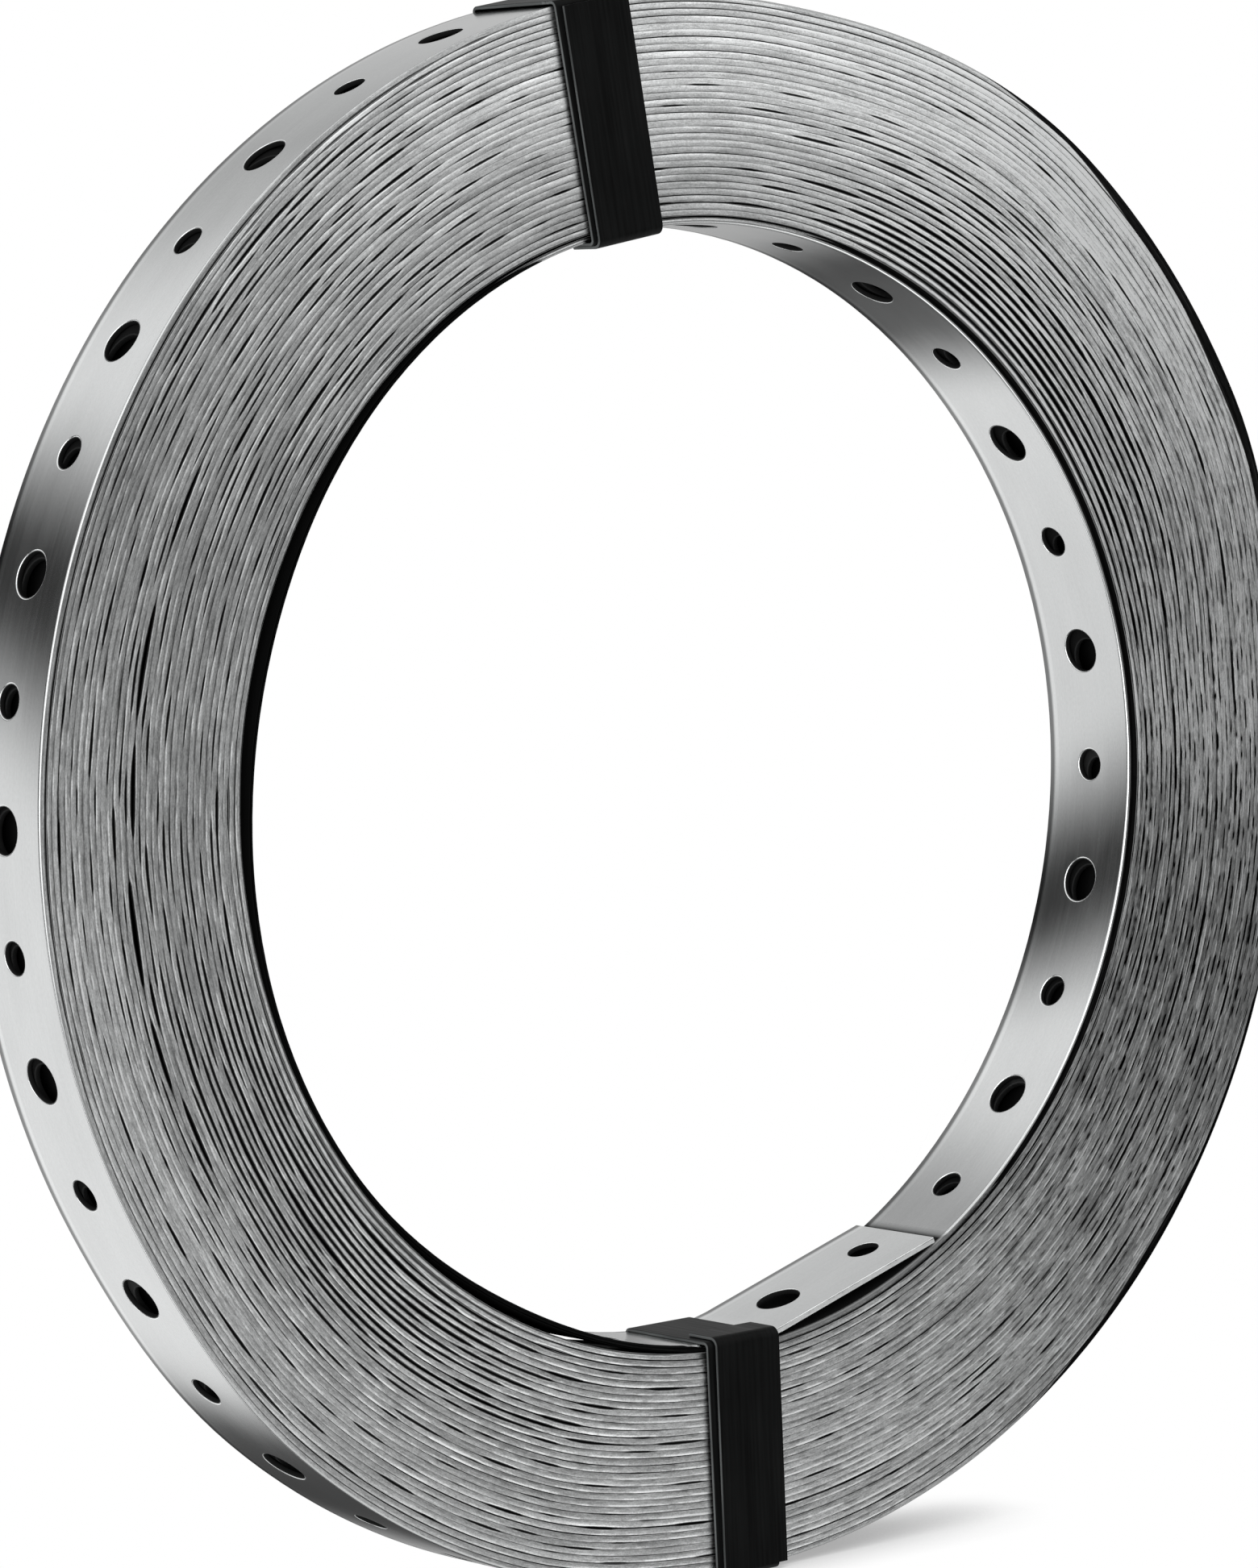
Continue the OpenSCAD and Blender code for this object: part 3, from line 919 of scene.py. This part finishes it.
def edge_colour(t, strip, v, w, tone_and_painted_light):
    """Sheared edges, uneven along the strap, each turn a little other than the next. Returns their
    lightness, and the fine noise for their gloss."""
    along_edge = t.noise(t.scaled(strip, 0.07, 0.02, 1.4), 4, 0.7)
    fine_edge = t.noise(t.scaled(strip, 0.8, 0.02, 4.0), 4, 0.75)
    speckle = t.noise(t.scaled(strip, 2.6, 0.02, 5.0), 2, 0.6)
    tone = t.plus(t.plus(t.swing(along_edge, 0.16), t.swing(fine_edge, 0.14)), t.swing(speckle, 0.10))
    tone = t.times(t.plus(tone, 0.56), tone_and_painted_light)
    # where two edges meet: a faint line of painted shade, and where the seam lies open a black line of
    # painted shade between two corners with a painted highlight
    seam = t.attribute("seam").outputs["Fac"]
    to_corner = t.minus(0.5, t.math("ABSOLUTE", t.minus(w, 0.5)))
    past = t.math("DIVIDE", to_corner, t.plus(t.times(seam, 0.30), 0.02))
    black = t.times(t.minus(1.0, past, clamp=True), 1.8, clamp=True)
    black = t.times(black, t.spread(seam, 0.0, 0.45, 0.0, 0.97), clamp=True)
    painted_shine = t.times(t.smooth(past, 0.9, 1.4, 0.0, 1.0), t.smooth(past, 1.4, 2.4, 1.0, 0.0))
    painted_shine = t.times(painted_shine, t.spread(seam, 0.1, 0.5, 0.0, 0.45), clamp=True)
    tone = t.times(tone, t.plus(1.0, painted_shine))
    # a painted highlight on one corner of the edge in short stretches, and painted shade on the other
    painted_corner_light = t.attribute("painted_corner_light").outputs["Fac"]
    catch = t.noise(t.scaled(strip, 0.15, 0.02, 0.6), 2, 0.6)
    shade = t.noise(t.scaled(strip, 0.18, 0.5, 0.6), 2, 0.6)
    painted_glint = t.times(t.smooth(w, 0.60, 0.76, 0.0, 1.05), t.spread(catch, 0.48, 0.58, 0.0, 1.0))
    painted_corner_shade = t.times(t.smooth(w, 0.36, 0.20, 0.0, 0.60), t.spread(shade, 0.46, 0.56, 0.0, 1.0))
    tone = t.times(tone, t.plus(1.0, t.times(painted_glint, painted_corner_light)))
    tone = t.less(tone, t.times(painted_corner_shade, painted_corner_light))
    faint = t.times(t.smooth(to_corner, 0.12, 0.01, 0.0, 0.16), t.spread(along_edge, 0.35, 0.65, 1.0, 0.0))
    tone = t.less(t.less(tone, faint), black)
    # painted shade down in the air between two turns
    return t.times(tone, t.smooth(t.math("ABSOLUTE", v), HW - 0.25, HW - 0.02, 0.03, 1.0)), fine_edge


def zinc():
    mat, t, shader = material("zinc_plated_steel")
    strip = t.attribute("strip").outputs["Vector"]
    edge = t.attribute("edge").outputs["Fac"]
    # tone: partly painted light and shade by place
    tone_and_painted_light = t.attribute("tone").outputs["Fac"]
    at = t.node("ShaderNodeSeparateXYZ")
    t.put(strip, at.inputs[0])
    v, w = at.outputs["Y"], at.outputs["Z"]
    wall, streak, cloud = wall_colour(t, strip, v, tone_and_painted_light)
    edge_tone, fine_edge = edge_colour(t, strip, v, w, tone_and_painted_light)
    tone = t.mix(edge, wall, edge_tone)
    # a bright line along the front where a corner is rounded: a painted highlight lifts its colour, besides
    # the rounding's own shine
    corner = t.times(t.smooth(edge, 0.02, 0.12, 0.0, 1.0), t.smooth(edge, 0.30, 0.60, 1.0, 0.0))
    corner = t.times(corner, t.smooth(v, HW - 0.6, HW - 0.4, 1.0, 0.0))
    tone = t.mix(corner, tone, 0.95)
    # painted full shade, which ends at the walls, and the painted shade down the holes
    shaded = t.smooth(t.attribute("painted_shadow").outputs["Fac"], -0.12, 0.12, 0.0, 1.0)
    shaded = t.times(shaded, t.smooth(v, 0.65 - HW, 0.85 - HW, 1.0, 0.0))
    inside = t.attribute("hole").outputs["Fac"]
    inside = t.times(inside, t.smooth(inside, 0.45, 0.62, 0.0, 1.0))
    shaded = t.math("MAXIMUM", shaded, inside)
    painted_shade = t.math("MAXIMUM", t.attribute("painted_shade").outputs["Fac"], shaded)
    tone = t.times(tone, t.spread(painted_shade, 0.0, 1.0, 1.0, 0.008), clamp=True)
    t.put(t.grey(tone, (0.985, 1.0, 1.0)), shader.inputs["Base Color"])
    rough = t.plus(t.between(streak, 0.13, 0.16), t.between(cloud, -0.02, 0.03))
    rough = t.mix(edge, rough, t.between(fine_edge, 0.34, 0.48))
    # what is painted dark is matt too
    t.put(t.mix(painted_shade, rough, 0.9), shader.inputs["Roughness"])
    t.put(t.spread(painted_shade, 0.3, 1.0, 1.0, 0.0), shader.inputs["Metallic"])
    t.put(t.spread(painted_shade, 0.3, 1.0, 0.1, 0.0), shader.inputs["Specular IOR Level"])
    height = t.plus(t.times(streak, 0.35), t.times(fine_edge, edge))
    relief(t, shader, height, 0.10)
    return mat


def black_band():
    mat, t, shader = material("black_band")
    strip = t.attribute("strip").outputs["Vector"]
    edge = t.attribute("edge").outputs["Fac"]
    streak = t.noise(t.scaled(strip, 2.2, 1.0, 0.05), 4)
    cloud = t.noise(t.scaled(strip, 0.15, 0.5, 0.08), 3)
    tone = t.plus(t.spread(streak, 0.35, 0.7, 0.0015, 0.005), t.between(cloud, 0.0, 0.002))
    # its edges are painted lighter: wear, and a painted highlight
    wear_and_highlight = t.times(t.spread(edge, 0.45, 0.95, 0.0, 0.16), t.spread(streak, 0.35, 0.6, 0.4, 1.0), clamp=True)
    tone = t.plus(tone, wear_and_highlight)
    t.put(t.grey(tone, (0.95, 1.0, 1.0)), shader.inputs["Base Color"])
    t.put(t.between(streak, 0.34, 0.46), shader.inputs["Roughness"])
    shader.inputs["Metallic"].default_value = 0.0
    shader.inputs["Specular IOR Level"].default_value = 0.05
    relief(t, shader, streak, 0.15)
    return mat


zinc_mat, band_mat = zinc(), black_band()
coil.data.materials.append(zinc_mat)
for o in (upper, lower):
    o.data.materials.append(band_mat)
for o, node in ((coil, "perforated_strap_coil"), (upper, "upper_band"), (lower, "lower_band")):
    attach(o, "root")
    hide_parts(node)

# ---------------------------------------------------------------- light, floor and backdrop
scene = bpy.context.scene
scene.view_settings.view_transform = "Standard"
world = bpy.data.worlds.new("studio")
scene.world = world

# How bright the studio is behind the roll, by the angle round the roll's axis from its left
# side, anticlockwise. Both walls of the roll mirror this part of it.
BEHIND = [(-180, 0.52), (-144, 0.62), (-126, 0.56), (-111, 0.50), (-95, 0.60), (-74, 0.93),
          (84, 1.0), (104, 0.82), (135, 0.42), (180, 0.50)]
# Two dark gaps in it: middle angle, slant, half width, softness, level left. The middle angle
# holds for directions whose share along the roll's axis is GAP_AT.
GAPS = [(-26, 110, 4, 30, 0.045), (120, -85, 11, 23, 0.16)]
GAP_AT = 0.785
# In front of the roll: straight ahead, above, below, to the right, to the left, and how much is
# added far to the left
FRONT, FRONT_TOP, FRONT_LOW, FRONT_RIGHT, FRONT_MID_LEFT, FRONT_LEFT = 0.42, 1.35, 1.6, 0.36, 0.74, 2.4
AMBIENT = 0.92                       # the level that lights matt surfaces


def studio():
    t = Tree(world)
    background = t.find("BACKGROUND")
    background.inputs["Color"].default_value = (1, 1, 1, 1)
    ray = t.node("ShaderNodeLightPath")
    to = t.node("ShaderNodeSeparateXYZ")
    t.put(t.node("ShaderNodeTexCoord").outputs["Generated"], to.inputs[0])
    x, y, z = to.outputs
    round_axis = t.math("ARCTAN2", t.times(z, -1.0), t.times(x, -1.0))
    round_axis = t.math("DEGREES", round_axis)
    curve = t.node("ShaderNodeValToRGB")
    t.put(t.spread(round_axis, -180, 180, 0.0, 1.0), curve.inputs["Fac"])
    stops = curve.color_ramp.elements
    while len(stops) < len(BEHIND):
        stops.new(0.5)
    for stop, (angle, level) in zip(stops, BEHIND):
        stop.position = (angle + 180) / 360
        stop.color = (level, level, level, 1)
    behind = curve.outputs["Color"]
    for middle, slant, half, soft, left in GAPS:
        off = t.minus(round_axis, middle)
        off = t.plus(off, t.times(t.minus(y, GAP_AT), slant))
        off = t.math("ABSOLUTE", off)
        behind = t.times(behind, t.smooth(off, half, half + soft, left, 1.0))
    front = t.plus(t.smooth(z, -0.15, 0.55, FRONT, FRONT_TOP), t.smooth(z, -0.40, -0.95, 0.0, FRONT_LOW))
    front = t.times(front, t.smooth(x, 0.60, 0.95, 1.0, FRONT_RIGHT))
    front = t.times(front, t.smooth(x, 0.10, -0.25, 1.0, FRONT_MID_LEFT))
    left = t.times(t.smooth(x, -0.35, -0.80, 0.0, FRONT_LEFT), t.smooth(z, -0.45, -0.20, 0.0, 1.0))
    left = t.times(left, t.smooth(y, -0.70, -0.52, 0.0, 1.0))
    front = t.plus(front, left)
    mirrored = t.mix(t.smooth(y, -0.25, 0.08, 0.0, 1.0), front, behind)
    seen = t.mix(ray.outputs["Is Camera Ray"], AMBIENT, 1.0)
    t.put(t.mix(ray.outputs["Is Glossy Ray"], seen, mirrored), background.inputs["Strength"])


studio()

hub = Vector(centre) * MM


def lamp(name, direction, distance, size, power):
    data = bpy.data.lights.new(name, "AREA")
    data.shape = "RECTANGLE"
    data.size, data.size_y = size
    data.energy = power
    obj = bpy.data.objects.new(name, data)
    scene.collection.objects.link(obj)
    d = Vector(direction).normalized()
    obj.location = hub + d * distance
    obj.rotation_euler = (-d).to_track_quat("-Z", "Y").to_euler()
    obj.visible_camera = False


lamp("left_strip", direction=(-0.80, -0.60, 0.05), distance=1.4, size=(0.30, 1.2), power=2.5)

# a white floor that glows evenly, with a painted shadow only close to the roll
FLOOR_HALF, SHADOW_REACH, SHADOW_LEVEL = 8, 0.018, 0.40
floor_mesh = bpy.data.meshes.new("floor")
floor_corners = [(x * FLOOR_HALF, y * FLOOR_HALF, 0) for x, y in ((-1, -1), (1, -1), (1, 1), (-1, 1))]
floor_mesh.from_pydata(floor_corners, [], [(0, 1, 2, 3)])
floor = bpy.data.objects.new("floor", floor_mesh)
scene.collection.objects.link(floor)
floor_mat = bpy.data.materials.new("floor")
t = Tree(floor_mat)
t.nodes.remove(t.find("BSDF_PRINCIPLED"))
ao = t.node("ShaderNodeAmbientOcclusion", samples=8)
ao.inputs["Distance"].default_value = SHADOW_REACH
glow = t.node("ShaderNodeEmission")
t.put(t.spread(ao.outputs["AO"], 0.15, 0.85, SHADOW_LEVEL, 1.0), glow.inputs["Strength"])
t.put(glow.outputs[0], t.find("OUTPUT_MATERIAL").inputs["Surface"])
floor_mesh.materials.append(floor_mat)
floor.visible_glossy = False
floor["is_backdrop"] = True

# ---------------------------------------------------------------- camera, as the photo was taken
AZIMUTH, ELEVATION, ROLL = (math.radians(a) for a in (37.69, -5.447, -2.61))
LENS, DISTANCE = 150.8, 1.0458
AIM_LEFT, AIM_UP = 0.0166, 0.0021     # where it looks on the roll's front face, from the axis, in metres
aim = hub + Vector((-AIM_LEFT, -HW * MM, AIM_UP))
ahead = Vector((math.sin(AZIMUTH) * math.cos(ELEVATION), math.cos(AZIMUTH) * math.cos(ELEVATION),
                math.sin(ELEVATION)))
right = ahead.cross(Vector((0, 0, 1))).normalized()
up = right.cross(ahead)
cam_x = right * math.cos(ROLL) + up * math.sin(ROLL)
cam_y = -right * math.sin(ROLL) + up * math.cos(ROLL)
data = bpy.data.cameras.new("camera")
camera = bpy.data.objects.new("camera", data)
scene.collection.objects.link(camera)
data.lens = LENS
data.clip_start = 0.05
data.clip_end = 50
camera.matrix_world = (Matrix.Translation(aim - ahead * DISTANCE)
                       @ Matrix((cam_x, cam_y, -ahead)).transposed().to_4x4())
scene.camera = camera

low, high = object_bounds()
